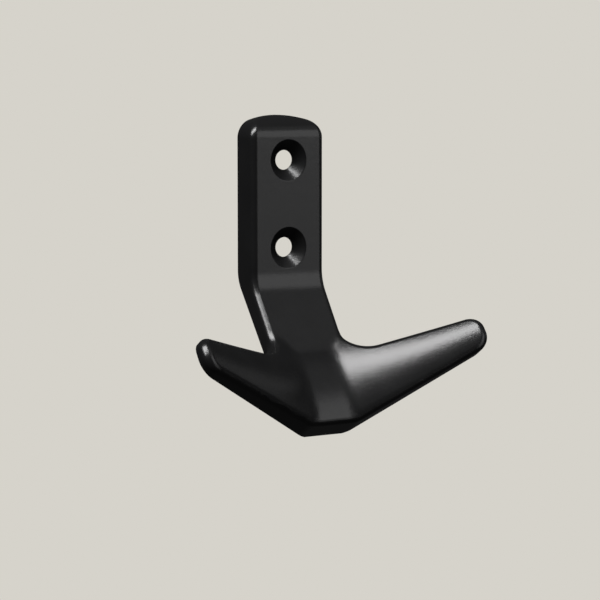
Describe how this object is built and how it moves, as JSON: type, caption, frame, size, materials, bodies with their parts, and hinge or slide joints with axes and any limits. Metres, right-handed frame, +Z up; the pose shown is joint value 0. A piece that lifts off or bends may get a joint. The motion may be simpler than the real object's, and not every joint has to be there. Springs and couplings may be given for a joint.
{
  "type": "wall hook",
  "caption": "Cast double wall hook: a countersunk back plate whose neck leans forward into an anchor-shaped cross bar with two upswept arms.",
  "frame": {"origin": "on the wall plane, on the hook's middle line, midway between the two screws", "axes": "+Z up, -Y out of the wall towards the user, X along the cross bar; the hook is symmetric about X = 0"},
  "size_m": [0.0822, 0.0372, 0.0787],
  "materials": {
    "black_finish": "fine satin powder coat"
  },
  "bodies": {
    "root": {"hook": "black_finish"}
  },
  "joints": []
}
